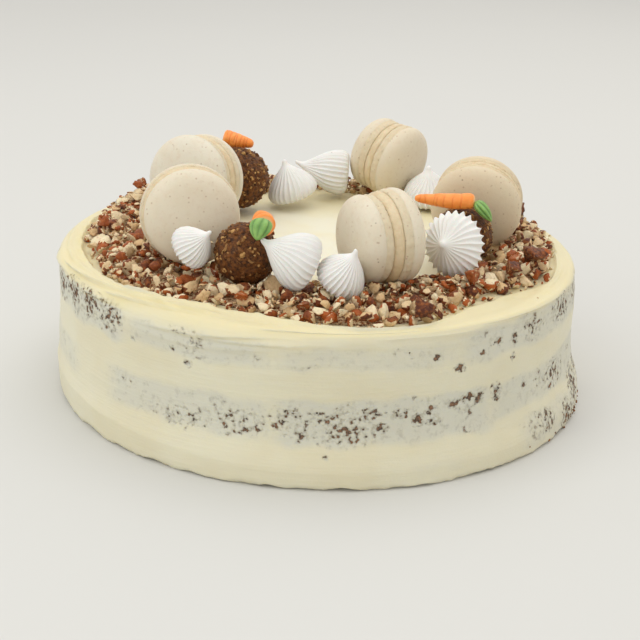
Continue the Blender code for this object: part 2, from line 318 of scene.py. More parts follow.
def turned(name, profile, segments, wide=1.0, tall=1.0):
    """Draws a profile of (radius, height) pairs a point at a time, and spins it round +Z.

    Each radius is scaled by wide and each height by tall, to give metres."""
    profile = [(radius * wide, height * tall) for radius, height in profile]
    piece = basic(bpy.ops.mesh.primitive_plane_add, size=0.01)
    piece.name = name
    bpy.ops.object.mode_set(mode="EDIT")
    bpy.context.tool_settings.mesh_select_mode = (True, False, False)
    bpy.ops.mesh.select_all(action="SELECT")
    bpy.ops.mesh.merge(type="CENTER")
    bpy.ops.transform.translate(value=(profile[0][0], 0, profile[0][1]))
    for (radius, height), (wider, higher) in zip(profile, profile[1:]):
        step = (wider - radius, 0, higher - height)
        bpy.ops.mesh.extrude_vertices_move(TRANSFORM_OT_translate={"value": step})
    bpy.ops.mesh.select_all(action="SELECT")
    bpy.ops.mesh.spin(steps=segments, angle=math.tau, center=(0, 0, 0), axis=(0, 0, 1))
    bpy.ops.mesh.select_all(action="SELECT")
    bpy.ops.mesh.remove_doubles(threshold=0.000002)
    bpy.ops.mesh.normals_make_consistent(inside=False)
    bpy.ops.object.mode_set(mode="OBJECT")
    piece.data.shade_smooth()
    return piece


def points_of(piece):
    flat = np.empty(len(piece.data.vertices) * 3)
    piece.data.vertices.foreach_get("co", flat)
    return flat.reshape(-1, 3)


def polar(points):
    """The angle of each point round the z axis, and its distance from that axis."""
    return np.arctan2(points[:, 1], points[:, 0]), np.hypot(points[:, 0], points[:, 1])


def around_axis(radius, turn_at, height):
    """A place on the cake's top, which leans a little to the left, from its angle and radius there."""
    return np.array([TOP_LEAN + radius * math.cos(turn_at), radius * math.sin(turn_at), height])


def shape(piece, points):
    """Puts the piece's points where the array says."""
    piece.data.vertices.foreach_set("co", np.asarray(points, float).ravel())
    piece.data.update()


def keep(piece, name, values, domain="POINT"):
    """Keeps a number for each point or face, for the material to read."""
    layer = piece.data.attributes.new(name, "FLOAT", domain)
    layer.data.foreach_set("value", np.asarray(values, np.float32))


def clouds(points, grain, seed=0.0):
    """Smooth noise from -1 to 1 at each point, with lumps about the grain in size."""
    spread = (points / grain + seed).tolist()
    return np.array([noise.noise(point) for point in spread])


def ease(values, low, high):
    share = np.clip((values - low) / (high - low), 0, 1)
    return share * share * (3 - 2 * share)


def bell(values, middle, width):
    """1 at the middle, falling off smoothly over the width on both sides."""
    return np.exp(-(((values - middle) / width) ** 2))


def toward(direction):
    """The turn that takes +Z to the direction, with +Y as near upright as it can be."""
    return np.array(Vector(direction).to_track_quat("Z", "Y").to_matrix())


def facing(azimuth, tilt):
    """The turn that takes +Z to the azimuth and tilt, in degrees."""
    across, up = math.radians(azimuth), math.radians(tilt)
    return toward((math.cos(up) * math.cos(across), math.cos(up) * math.sin(across), math.sin(up)))


def middle_of(node):
    low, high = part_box(node)
    return np.array((low + high) / 2)


def seat(piece, node, turn):
    """Turns the piece's points, then moves them so that its box has the same middle as the node's."""
    points = points_of(piece) @ turn.T
    shape(piece, points - (points.min(0) + points.max(0)) / 2 + middle_of(node))


def finished(piece, material, slot, *nodes):
    """Gives the piece its material and ties it to the frame."""
    piece.data.materials.clear()
    piece.data.materials.append(material)
    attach(piece, "root")
    if nodes:
        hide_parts(*nodes)
    return piece


class Pile:
    """Many small bits that become one piece, with a few numbers kept for each face."""

    def __init__(self):
        self.points = []
        self.faces = []
        self.kept = {}
        self.count = 0

    def add(self, points, faces, **kept):
        """Adds a bit. What is kept is one number for the bit, or one for each of its faces."""
        self.points.append(points)
        self.faces.append(faces + self.count)
        self.count += len(points)
        for name, values in kept.items():
            self.kept.setdefault(name, []).append(np.broadcast_to(values, len(faces)))

    def piece(self, name):
        mesh = bpy.data.meshes.new(name)
        mesh.from_pydata(np.concatenate(self.points).tolist(), [], np.concatenate(self.faces).tolist())
        mesh.update()
        piece = bpy.data.objects.new(name, mesh)
        bpy.context.scene.collection.objects.link(piece)
        for kept, values in self.kept.items():
            keep(piece, kept, np.concatenate(values), "FACE")
        return piece


# ---------------------------------------------------------------- cake body

foot_low, foot_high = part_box("frosting")
FOOT_RADIUS = (foot_high.x - foot_low.x) / 2
CAKE_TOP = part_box("sponge_top")[1].z + 3.9 * MM
CAVITY_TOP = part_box("sponge_top")[1].z + 0.3 * MM
CAVITY_FOOT_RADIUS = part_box("sponge_bottom")[1].y + 0.3 * MM
CAVITY_TOP_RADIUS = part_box("sponge_top")[1].y + 0.1 * MM
WALL_RADIUS = FOOT_RADIUS - 4.5 * MM
FOOT_RISE = 1.8 * MM
TOP_LEAN = -3.3 * MM
RIM = CAKE_TOP + 0.2 * MM
COAT_SEGMENTS = 800
SIDE_STEP = 0.90 * MM
SIDE_TOP = 54.0 * MM
LOW_SIDE = 20 * MM
SIDE_RADIUS = 114  # in mm, for turning degrees into a distance along the side

# Radii over which relief passes from the side to the top, and the strokes on the top give way to a swirl
SIDE_FROM, SIDE_FULL = 104 * MM, 110.5 * MM
TOP_FULL, TOP_GONE = 104 * MM, 111 * MM
SWIRL_FULL, SWIRL_GONE = 70 * MM, 100 * MM
SWIRL_LEFT = 20 * MM

TOPPINGS = [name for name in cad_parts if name.startswith(("macaron", "meringue", "date", "carrot"))]

# Where the scraped coat thins over the sponge: azimuth from and to, low and high edge in mm, strength
THIN_PLACES = (
    (-178, -128, 44, 58.5, 0.9), (-132, -96, 46, 56.5, 0.8), (-100, -58, 45.5, 55.5, 0.62),
    (-62, 12, 45, 58.5, 0.85), (-138, -96, 17.5, 34, 0.8), (-100, -50, 17, 35.5, 0.9),
    (-56, 2, 19, 35, 0.78), (-76, -56, 4, 11, 0.3), (-47, 4, 2, 16, 0.62), (20, 96, 45, 57.5, 0.8),
    (90, 172, 46, 57, 0.72), (14, 80, 17.5, 35, 0.82), (72, 150, 18, 34, 0.74), (156, 214, 19, 33, 0.6),
    (60, 120, 4, 13, 0.4),
)

# Where crumb shows bare: azimuth, height in mm, half width and half height in mm, strength
BARE_PLACES = (
    (-160, 51.5, 7, 4.5, 0.95), (-150, 54, 7, 4.5, 1.0), (-142, 54.5, 7, 4.5, 1.05), (-135, 53, 6, 4, 0.95),
    (-171, 53, 6, 5, 0.85), (-128, 47.4, 0.7, 0.6, 1.45), (-118, 48.7, 0.9, 0.7, 1.45),
    (-114.6, 43.9, 1.3, 1.1, 1.45), (-60.5, 44.5, 1.9, 1.1, 1.4), (-65.6, 50.1, 0.9, 0.8, 1.45),
    (-71, 51.9, 0.7, 0.5, 1.35), (-55, 48.7, 0.9, 0.8, 1.3), (-50.8, 51.4, 1.5, 1.1, 1.45),
    (-46.2, 50.8, 1.4, 1.5, 1.45), (-46.6, 43.4, 0.9, 1.2, 1.25), (-40, 52.5, 6, 4, 0.55),
    (-26, 54, 9, 4.5, 0.72), (-12, 53, 10, 4.5, 0.75), (-116, 22, 10, 4, 0.4), (-104, 24, 9, 5, 0.38),
    (-95, 26, 7, 5, 0.42), (-92.5, 21.5, 1.6, 1.8, 1.2), (-88, 28, 4.5, 1.6, 1.0), (-83, 24, 8, 5.5, 0.52),
    (-83.5, 23, 1.2, 1.4, 1.3), (-79, 29.5, 4, 1.6, 0.9), (-77.4, 23.6, 2.6, 1.3, 1.3),
    (-73, 29, 3, 1.4, 0.85), (-69.6, 26.5, 1.7, 2.2, 1.35), (-67, 29.5, 1.3, 1.6, 1.3),
    (-66.5, 24.5, 2, 0.9, 1.2), (-61.8, 30, 2.2, 1.3, 1.35), (-58.2, 31.4, 2.2, 1.2, 1.45),
    (-55.5, 31, 1.3, 1.8, 1.4), (-51.2, 31.2, 2, 2.6, 1.25), (-42.8, 29.3, 1.3, 1.4, 1.2),
    (-30, 27, 9, 5, 0.5), (-87.8, 13, 1, 0.8, 0.85), (-36, 10.5, 5, 3.5, 0.8), (-25, 6, 6, 4.5, 0.98),
    (-17, 12, 6, 7, 1.0), (-8, 17, 7, 6, 0.85), (28, 51, 8, 4, 0.75), (47, 52.5, 9, 4, 0.9),
    (74, 50, 6, 3, 0.65), (104, 51.5, 9, 4, 0.8), (131, 50.5, 6, 3, 0.7), (158, 52, 8, 4, 0.8),
    (24, 27, 8, 5, 0.7), (52, 25, 10, 5, 0.8), (88, 26, 8, 4.5, 0.7), (118, 24, 9, 5, 0.8),
    (146, 26, 6, 4, 0.6), (178, 26, 7, 4, 0.6), (92, 9, 6, 3, 0.7),
)

# Round the cake: azimuth, roundness of the shoulder in mm
SHOULDER = (
    (-180, 5), (-160, 4.2), (-145, 5), (-130, 7.5), (-113, 8.5), (-99, 6), (-87, 3), (-70, 2.2), (-52, 2.2),
    (-28, 2.5), (0, 3.6), (50, 5), (110, 4.4), (150, 5.5), (180, 5),
)

# Outer and inner edge of the ring of nuts and how high it is heaped: azimuth, radius, radius, height in mm
RING = (
    (-180, 100.5, 72, 7.5), (-160, 100, 66, 6.8), (-140, 102.5, 61, 6.2), (-131, 103, 60, 5.8),
    (-124, 98.5, 62, 5.6), (-116, 95.5, 63, 5.6), (-107, 96.5, 64, 5.6), (-98, 98.5, 66, 5.6),
    (-90, 103.5, 64, 6.4), (-80, 107, 64, 6.6), (-67, 107, 62, 6.8), (-61, 101.5, 62, 6.6),
    (-52, 96.5, 66, 6.6), (-40, 95.5, 70, 7), (-31, 100.5, 72, 7.6), (-24, 104, 73, 8), (-10, 103, 76, 7.6),
    (8, 104.5, 80, 8.4), (30, 103, 84, 7.4), (60, 101, 88, 6), (90, 101, 89, 5.6), (120, 102, 86, 7),
    (145, 102.5, 80, 9.4), (163, 101, 76, 9.5), (180, 100.5, 72, 7.5),
)

# How small and large the nut pieces are in mm, and how many are tried
SIZES = ((6.8, 9.2, 110), (5.2, 7.0, 650), (3.9, 5.5, 1900), (2.4, 3.8, 1500), (1.1, 2.4, 1500))

# Large pieces with most of their skin: azimuth, radius and size in mm
LOBES = (
    (-23, 98, 9.5), (-27, 91, 8), (-32, 94, 7), (-67, 103, 9), (-45, 88, 7.5), (152, 96, 5),
    (149, 97.5, 4.5), (-136, 80, 6.5), (-107, 92, 7), (20, 98, 8), (48, 96, 7.5), (88, 97, 7), (117, 98, 8),
    (-172, 92, 7), (-92, 95, 6),
)

# Round the cake: azimuth, how proud the lip over the nuts is, how full the side is low and high, all in mm
FULLNESS = (
    (-180, 1, 2.4, 0.3), (-160, 1.5, 2.2, 0.4), (-140, 1.9, 1.4, 0.3), (-115, 1.9, 0.5, 0.1),
    (-90, 1.7, 0, 0), (-66, 1.3, 0, 0), (-57, 0.5, 0, 0.1), (-40, 0.15, 0.1, 0.4), (-15, 0.25, 0.2, 0.9),
    (15, 0.7, 0.4, 0.6), (60, 1, 0.2, 0), (120, 0.8, 0.6, 0.1), (150, 1, 1.2, 0.3), (180, 1, 2.4, 0.3),
)

# Strokes of the palette knife round the rim: azimuth from and to, distance in from the rim (out and down is
# negative) at each end in mm, height and breadth in mm
RIM_STROKES = (
    (-188, -146, 1.5, 4.2, 1.5, 0.7), (-174, -130, -1, 2.6, 1.2, 0.9), (-162, -122, 0.5, 4.2, 1.9, 0.7),
    (-148, -112, -1.2, 3.6, 1.8, 0.75), (-134, -108, 2.2, 5.6, 2, 0.75), (-126, -92, -2.2, 1, 1, 0.8),
    (-122, -84, -1.5, -3, 0.7, 0.7), (-112, -90, -5, -4, 0.4, 0.6), (-108, -58, 1, 0.2, 0.5, 0.6),
    (-96, -60, -3, -5.5, 0.35, 0.5), (-78, -48, -1, -1.6, 0.6, 0.5), (-70, -22, 1.2, 2.4, 0.7, 0.6),
    (-64, -30, -2.5, -3, 0.5, 0.5), (-56, -14, 0.1, -0.3, 1, 0.5), (-46, -8, 3, 3.8, 0.7, 0.7),
    (-40, 10, 5, 6.5, 0.5, 0.8),
)


def wall_radius(height):
    """Radius of the side: nearly upright, swelling into a foot."""
    flare = (FOOT_RADIUS - WALL_RADIUS) / (1 + math.exp((height - 13.8 * MM) / (3.3 * MM)))
    return min(FOOT_RADIUS, WALL_RADIUS + 0.5 * MM * (1 - height / CAKE_TOP) + flare)


def coat_rows():
    """The rows of the coat, from the middle of its hollow, under the foot, up the side and over the top.

    Each row has its kind, its share of the way through that kind, and a radius and height to draw it at."""
    hollow = ((0.0, CAVITY_TOP), (CAVITY_TOP_RADIUS, CAVITY_TOP), (CAVITY_FOOT_RADIUS, 0.0))
    rows = [("hollow", 0, radius, height) for radius, height in hollow]
    for inset, height in ((2.4, 0), (1.2, 0), (0.5, 0.3)):
        rows.append(("foot", 0, FOOT_RADIUS - inset * MM, height * MM))
    height = SIDE_STEP
    while height < SIDE_TOP:
        rows.append(("side", 0, wall_radius(height), height))
        height += SIDE_STEP
    for step in range(20):
        share = (step + 0.5) / 20
        rows.append(("corner", share, WALL_RADIUS - 4 * MM * share, CAKE_TOP - 4 * MM * (1 - share)))
    for step in range(8):
        share = (step + 1) / 8
        rows.append(("bank", share, WALL_RADIUS - (4 + 4 * share) * MM, CAKE_TOP + 1 * MM * share))
    for inside in (0.25, 0.5, 0.8, 1.15, 1.7, 2.5, 3.5):
        rows.append(("drop", inside, WALL_RADIUS - (8 + inside) * MM, CAKE_TOP + (1 - inside / 4) * MM))
    for share in (0.96, 0.92, 0.87, 0.81, 0.74, 0.66, 0.58, 0.49, 0.40, 0.31, 0.22, 0.13, 0.06, 0.0):
        rows.append(("top", share, (WALL_RADIUS - 11.5 * MM) * share, CAKE_TOP))
    return rows


def round_the_cake(azimuths, table, column):
    """A measure that changes smoothly round the cake, from a table whose first column is the azimuth."""
    stops = np.array([row[0] for row in table])
    values = np.array([row[column] for row in table])
    return np.interp((np.asarray(azimuths) + 180) % 360 - 180, stops, values)


def around(first, second):
    """Signed angle in degrees between azimuths."""
    return (first - second + 180) % 360 - 180


def coat_shape(rows, kind, share, azimuth, outward, across, height):
    """Radius and height of each point before the relief, with the crest of the lip and the shoulder's size.

    The shoulder is tight at the front and broad at the left; a lip of cream stands up against the nuts."""
    flat = outward * 108 * MM
    roundness = round_the_cake(azimuth, SHOULDER, 1) * MM
    stretch = (RIM - roundness - LOW_SIDE) / (SIDE_TOP + 0.2 * MM - LOW_SIDE)
    level = np.where((kind == "side") & (height > LOW_SIDE), LOW_SIDE + (height - LOW_SIDE) * stretch, height)
    side_rows = [row for row in rows if row[0] == "side"]
    wall = np.interp(level, [row[3] for row in side_rows], [row[2] for row in side_rows])
    low_down = bell(level / MM, 24, 13) + 0.5 * bell(level / MM, 7, 7)
    full_high = round_the_cake(azimuth, FULLNESS, 3)
    fuller = round_the_cake(azimuth, FULLNESS, 2) * low_down + full_high * bell(level / MM, 50, 12)
    wall = np.minimum(wall + fuller * MM, FOOT_RADIUS - 0.1 * MM)
    corner = WALL_RADIUS + 0.9 * full_high * MM
    crest = round_the_cake(azimuth, RING, 1) * MM + 1.6 * MM
    crest += MM * (0.7 * clouds(flat, 0.014, 40.0) + 0.6 * clouds(flat, 0.0052, 42.0))
    crest = np.minimum(crest, corner - roundness - 0.3 * MM)
    uneven = 1 + 0.40 * clouds(flat, 0.012, 41.0) + 0.40 * clouds(flat, 0.0048, 43.0)
    proud = round_the_cake(azimuth, FULLNESS, 1) * uneven * MM
    bend = share * math.pi / 2
    shapes = {
        "side": (wall, level),
        "corner": (corner - roundness * (1 - np.cos(bend)), RIM - roundness * (1 - np.sin(bend))),
        "bank": (
            (corner - roundness) * (1 - share) + crest * share,
            RIM + proud * (0.35 * share + 0.65 * share**3.5),
        ),
        "drop": (
            crest - share * MM,
            RIM + proud * (1.12 * bell(share, 0, 0.95) - 0.12) - 0.5 * MM * ease(share, 0.3, 2.0),
        ),
        "top": ((crest - 3.5 * MM) * share, RIM - 0.5 * MM - 0.12 * proud * ease(share, 0.5, 1.0)),
    }
    kinds = [kind == name for name in shapes]
    radius = np.select(kinds, [radii for radii, _ in shapes.values()], across)
    return radius, np.select(kinds, [levels for _, levels in shapes.values()], level), crest, roundness


def thinned(points, azimuth, side):
    """How thin the coat is over the sponge, and how near it is to being scraped open."""
    up = points[:, 2] / MM
    veil = np.zeros(len(points))
    level = up + clouds(points, 0.011, 3.0) * 2.2
    for start, end, low, high, strength in THIN_PLACES:
        along = ease((end - start) / 2 - np.abs(around(azimuth, (start + end) / 2)), -3.0, 7.0)
        band = ease(level, low - 2.5, low + 3.0) * ease(-level, -high - 2.5, -high + 2.5)
        veil = np.maximum(veil, strength * along * band)
    bare = np.zeros(len(points))
    for middle, centre, half_width, half_height, strength in BARE_PLACES:
        sideways = np.radians(around(azimuth, middle)) * SIDE_RADIUS / half_width
        upright = (up - centre) / half_height
        bare = np.maximum(bare, strength * np.exp(-0.7 * (sideways**2 + upright**2)))
    chance = np.maximum(bare**1.5, 0.11 * veil * ease(clouds(points, 0.009, 17.0), -0.1, 0.5))
    chance *= side & (up < 60)
    return np.maximum(veil, 0.85 * ease(bare, 0.15, 0.8)) * side, chance


def knife_strokes():
    """The broad strokes round the rim, then many fine ones over the rim, and fainter ones down the side."""
    strokes = list(RIM_STROKES)
    dice = random.Random(21)
    for count, places, reach, slant, near_rim, elsewhere, tall, broad in (
        (80, (-16, 8), (14, 60), 2.5, 0.32, 0.14, (0.4, 1.0), (0.4, 0.9)),
        (60, (-56, -14), (10, 40), 1.5, 1.0, 1.0, (0.04, 0.12), (0.4, 0.8)),
    ):
        for _ in range(count):
            start = dice.uniform(-180, 180)
            place = dice.uniform(*places)
            size = near_rim if place > -8 else elsewhere
            line = (start, start + dice.uniform(*reach), place, place + dice.uniform(-slant, slant))
            strokes.append((*line, dice.uniform(*tall) * size, dice.uniform(*broad)))
    return strokes


def swell(points, near_toppings):
    """Raises cream to meet whatever stands on it."""
    tree = search_tree(TOPPINGS)
    reach = 3.2 * MM
    for index in near_toppings:
        start = Vector(points[index])
        place, _, _, distance = tree.find_nearest(start, reach)
        if place is None:
            continue
        rise = 1.5 * MM * (1 - distance / reach) ** 1.3
        hit = tree.ray_cast(start - 3 * MM * UP, UP, 9 * MM)[0]
        if hit is not None:
            rise = min(rise, max(0.0, hit.z - start.z + 0.25 * MM))
        points[index, 2] += rise
    return points


def make_coat(material):
    rows = coat_rows()
    coat = turned("frosting_coat", [row[2:] for row in rows], COAT_SEGMENTS)
    points = points_of(coat)
    turn_at, across = polar(points)
    azimuth = np.degrees(turn_at)
    height = points[:, 2].copy()
    outward = np.array([np.cos(turn_at), np.sin(turn_at), turn_at * 0]).T
    nearest = np.argmin([(across - row[2]) ** 2 + (height - row[3]) ** 2 for row in rows], axis=0)
    kind = np.array([row[0] for row in rows])[nearest]
    share = np.array([row[1] for row in rows])[nearest]
    skin = kind != "hollow"
    side = skin & (kind != "top") & (kind != "drop")
    across, height, crest, roundness = coat_shape(rows, kind, share, azimuth, outward, across, height)
    points = outward * across[:, None]
    points[:, 2] = height
    up = height / MM
    veil, chance = thinned(points, azimuth, side)

    # Strokes of the knife: travel is the way in from the rim, or down from it where negative
    half_round = roundness / 2
    travel = np.maximum(0, WALL_RADIUS - half_round - across) / MM
    travel += np.minimum(0, height - RIM + half_round) / MM
    lift = np.zeros(len(points))
    back_left = ease(24 - np.abs(around(azimuth, -174)), 0, 14)
    # Painted shade: where folds of cream would shade the surface, marked for the cream finish to paint darker
    # and yellower
    crease_shade = 1.5 * bell(across, crest, 2.4 * MM) * back_left * skin
    for start, end, first, last, tall, broad in knife_strokes():
        half = (end - start) / 2
        offset = around(azimuth, (start + end) / 2)
        share = np.clip(offset / half, -1, 1)
        away = travel - first - (last - first) * (share + 1) / 2
        profile = np.where(away > 0, np.exp(-away / (2.2 * broad)), bell(away, 0, 0.45 * broad))
        fade = (1 - share**2) ** 0.8 * (np.abs(offset) < half)
        lift += tall * profile * fade
        crease_shade = np.maximum(crease_shade, tall * bell(away, -0.9 * broad, 0.7 * broad) * fade)

    # Relief of the side: out of round, swept lines, pits where crumb is bare
    swept = np.array([azimuth / 14, up / 1.3, across / MM / 1.3]).T
    lift += 0.10 * clouds(swept, 1.0, 4.0) * ease(up, 40, 60)
    lift += 0.10 * clouds(points, 0.006, 6.0)
    lift -= 0.45 * chance * ease(clouds(points, 0.0026, 8.0), 0.0, 0.5)
    lift -= 0.18 * veil
    inset = 0.35 * (1 + clouds(points, 0.045, 1.0)) + 0.25 * (1 + clouds(points, 0.016, 2.0))
    points += outward * ((lift - inset) * ease(across, SIDE_FROM, SIDE_FULL) * side * MM)[:, None]

    # The top is swirled round a point left of its middle
    upward = ease(-across, -TOP_GONE, -TOP_FULL) * (skin & (height > CAKE_TOP - 6 * MM))
    middle = ease(-across, -SWIRL_GONE, -SWIRL_FULL)
    swirl = np.degrees(np.arctan2(points[:, 1], points[:, 0] + SWIRL_LEFT)) / 40
    swirl = np.array([swirl, across / (7 * MM), across * 0]).T
    rolling = 0.35 * clouds(swirl, 1.0, 12.0) + 0.30 * clouds(points, 0.013, 14.0)
    points[:, 2] += (lift * (1 - middle) + middle * rolling) * upward * MM

    # The foot meets the board in a thin uneven edge
    foot = skin & (height < 2.4 * MM) & (across > CAVITY_FOOT_RADIUS + 1 * MM)
    fade = ease(-up, -2.4, -0.4) * foot
    level = points * np.array([1, 1, 0])
    ragged = clouds(level, 0.008, 30.0) + 0.6 * clouds(level, 0.0028, 31.0)
    points += outward * (np.minimum(ragged - 0.5, 0.6) * fade * MM)[:, None]
    lifted = np.maximum(0, clouds(points * np.array([1, 1, 0]), 0.012, 33.0) + 0.25)
    points[:, 2] += 1.3 * lifted * fade * MM

    shape(coat, leaned(points))
    near_toppings = skin & (height > CAKE_TOP - 2 * MM) & (across < WALL_RADIUS - 4 * MM)
    shape(coat, swell(points_of(coat), np.nonzero(near_toppings)[0]))
    keep(coat, "veil", veil)
    keep(coat, "bare", chance)
    # Share of the top's middle, which the cream finish paints paler as painted light
    keep(coat, "middle", ease(-across, -0.078, -0.030))
    keep(coat, "crease_shade", np.clip(crease_shade * 0.6, 0, 1))
    return finished(coat, material, "frosting", "frosting")


def leaned(points):
    points = points.copy()
    points[:, 0] += TOP_LEAN * np.clip(points[:, 2] - FOOT_RISE, 0, None) / (CAKE_TOP - FOOT_RISE)
    return points


def search_tree(nodes):
    """Every face of the named CAD nodes, for finding what is near or above a point."""
    points = []
    faces = []
    for node in nodes:
        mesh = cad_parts[node].data
        first = len(points)
        points += [vertex.co.copy() for vertex in mesh.vertices]
        faces += [tuple(first + index for index in face.vertices) for face in mesh.polygons]
    return BVHTree.FromPolygons(points, faces)


# ---------------------------------------------------------------- toppings

# Facing and tilt in degrees, front and back radius, shell and filling height in mm, tint from pale to tan
MACARONS = {
    "macaron_back_left": (-117, 10, 19.75, 19.95, 10.5, 4.6, 0.10),
    "macaron_front_left": (-79, 10, 19.2, 20.4, 10.2, 4.6, 0.42),
    "macaron_front": (-155, -2, 17.9, 19.2, 12.4, 4.0, 0.35),
    "macaron_right": (-102, -10, 19.5, 19.0, 10.0, 3.8, 0.95),
    "macaron_back": (-37, -12, 18.4, 17.6, 12.7, 4.2, 0.60),
}

# The edge of a macaron's filling: shares of its radius and of half its height
FILLING_EDGE = (
    (0, -1), (0.91, -1), (0.955, -0.9), (0.975, -0.4), (0.98, 0), (0.974, 0.4), (0.952, 0.9), (0.91, 1),
    (0, 1),
)

# A macaron shell below its dome: share of its radius, and height in mm or as a share of its foot
SHELL_BASE = ((0.0, 0.25), (0.5, 0.25), (0.90, 0.2), (0.945, 0.0))
SHELL_FOOT = ((0.968, 0.14), (0.978, 0.40), (0.974, 0.66), (0.968, 0.86), (0.967, 0.92), (0.981, 1.02))

# Tip direction and tilt in degrees, radius, height and bend of the tip in mm
MERINGUES = {
    "meringue_front_left": (-25, 39, 8.7, 15.0, 0.6),
    "meringue_front_large": (-167, 27, 11.4, 22.6, 1.6),
    "meringue_front_small": (-36, 54, 9.6, 17.8, 2.2),
    "meringue_front_right": (-126, 10, 13.7, 13.0, 0.8),
    "meringue_back_right": (-105, 76, 11.8, 18.0, 1.0),
    "meringue_back_large": (180, 3, 10.7, 26.5, 3.6),
    "meringue_back_left": (-170, 70, 11.8, 19.0, 0.8),
}
MERINGUE_RIDGES = 26

# A meringue's outline, as shares of its radius and height
KISS = (
    (0, 0), (0.45, 0), (0.72, 0.004), (0.84, 0.02), (0.92, 0.05), (0.965, 0.09), (0.99, 0.13), (1, 0.18),
    (0.985, 0.24), (0.955, 0.3), (0.91, 0.36), (0.85, 0.42), (0.78, 0.475), (0.7, 0.53), (0.61, 0.585),
    (0.515, 0.64), (0.42, 0.695), (0.335, 0.745), (0.26, 0.79), (0.195, 0.83), (0.145, 0.87),
    (0.115, 0.905), (0.098, 0.94), (0.082, 0.968), (0.052, 0.99), (0, 1),
)


def make_shell(name, radius, height, seed, tint, material):
    """A macaron shell: ruffled foot, then a full smooth dome."""
    foot = 0.30 * height
    outline = [(across * radius, up) for across, up in SHELL_BASE]
    outline += [(across * radius, up * foot) for across, up in SHELL_FOOT]
    for degrees in (3, 9, 16, 24, 32, 40, 48, 56, 64, 72, 79, 85):
        angle = math.radians(degrees)
        rise = foot * 1.16 + (height - foot * 1.16) * math.sin(angle) ** 0.92
        outline.append((radius * math.cos(angle) ** 0.60, rise))
    outline.append((0.0, height))
    shell = turned(name, outline, 144, MM, MM)
    points = points_of(shell)
    turning, across = polar(points)
    up = points[:, 2] / MM
    in_foot = ease(-up, -1.05 * foot, -0.85 * foot) * ease(across / MM, 0.92 * radius, 0.95 * radius)
    ring = np.array([np.cos(turning) * 9, np.sin(turning) * 9, up * 1.6]).T + seed
    ruffle = clouds(ring, 1.0) + 0.7 * clouds(ring * 2.3, 1.0, 3.0)
    warp = 0.10 * clouds(points / MM / 9 + seed, 1.0) * ease(up, foot, height * 0.8)
    points[:, :2] *= (1 + in_foot * 0.024 * (ruffle + 0.1))[:, None]
    points[:, 2] += warp * MM * ease(up, foot, height)
    shape(shell, points)
    keep(shell, "foot", np.clip(in_foot * 1.2, 0, 1))
    keep(shell, "tint", np.full(len(points), tint))
    return finished(shell, material, "macaron", name + "_shell")


def make_macarons(shell_material, filling_material):
    """Two shells back to back with the filling between them, then all three turned and put in place."""
    for number, (name, sizes) in enumerate(MACARONS.items()):
        azimuth, tilt, front_radius, back_radius, shell_height, filling_height, tint = sizes
        half = filling_height / 2
        middle, wider = (front_radius + back_radius) / 2, (front_radius - back_radius) / 2
        outline = [(across * (middle + wider * up), up * half) for across, up in FILLING_EDGE]
        cream = turned(name + "_cream", outline, 96, MM, MM)
        points = points_of(cream)
        points[:, :2] *= (1 + 0.012 * clouds(points, 0.0035, number))[:, None]
        shape(cream, points)
        finished(cream, filling_material, "macaron_filling", name + "_filling")
        pieces = [cream]
        for end, radius, seed, flip in (
            ("_front", front_radius, 7 * number, (1, 1, 1)),
            ("_back", back_radius, 7 * number + 3, (-1, 1, -1)),
        ):
            shell = make_shell(name + end, radius, shell_height, seed, tint, shell_material)
            clear_of_middle = np.array([0, 0, (half + 0.02) * MM])
            shape(shell, (points_of(shell) + clear_of_middle) * np.array(flip))
            pieces.append(shell)
        for piece in pieces:
            shape(piece, points_of(piece) @ facing(azimuth, tilt).T + middle_of(name + "_filling"))


def make_meringues(material):
    """Star-tip kisses: fluted from base to tip, the flutes turning a little as they close."""
    for number, (name, (azimuth, tilt, radius, height, bend)) in enumerate(MERINGUES.items()):
        kiss = turned(name + "_kiss", KISS, MERINGUE_RIDGES * 8, radius * MM, height * MM)
        points = points_of(kiss)
        turning, across = polar(points)
        across /= radius * MM
        up = points[:, 2] / (height * MM)
        ridge = 1 - np.abs(np.sin(MERINGUE_RIDGES * turning / 2)) ** 0.85
        depth = 0.115 * ease(up, -0.10, 0.08) * ease(-up, -0.93, -0.62)
        lump = 1 + 0.035 * clouds(points, radius * MM * 0.9, number * 5.0)
        points[:, :2] *= ((1 + depth * (ridge - 0.80)) * lump)[:, None]
        twist = (0.12 if tilt < 20 else 0.30) * up**1.5 + 0.05 * clouds(points, 0.008, number)
        x, y = points[:, 0].copy(), points[:, 1].copy()
        points[:, 0] = x * np.cos(twist) - y * np.sin(twist)
        points[:, 1] = x * np.sin(twist) + y * np.cos(twist) + bend * MM * up**4
        shape(kiss, points)
        seat(kiss, name, facing(azimuth, tilt))
        # The grooves are painted as shade by the meringue finish
        keep(kiss, "groove", (1 - ridge) * ease(-up, -0.9, -0.6) * ease(across, 0.05, 0.2))
        finished(kiss, material, "meringue", name)


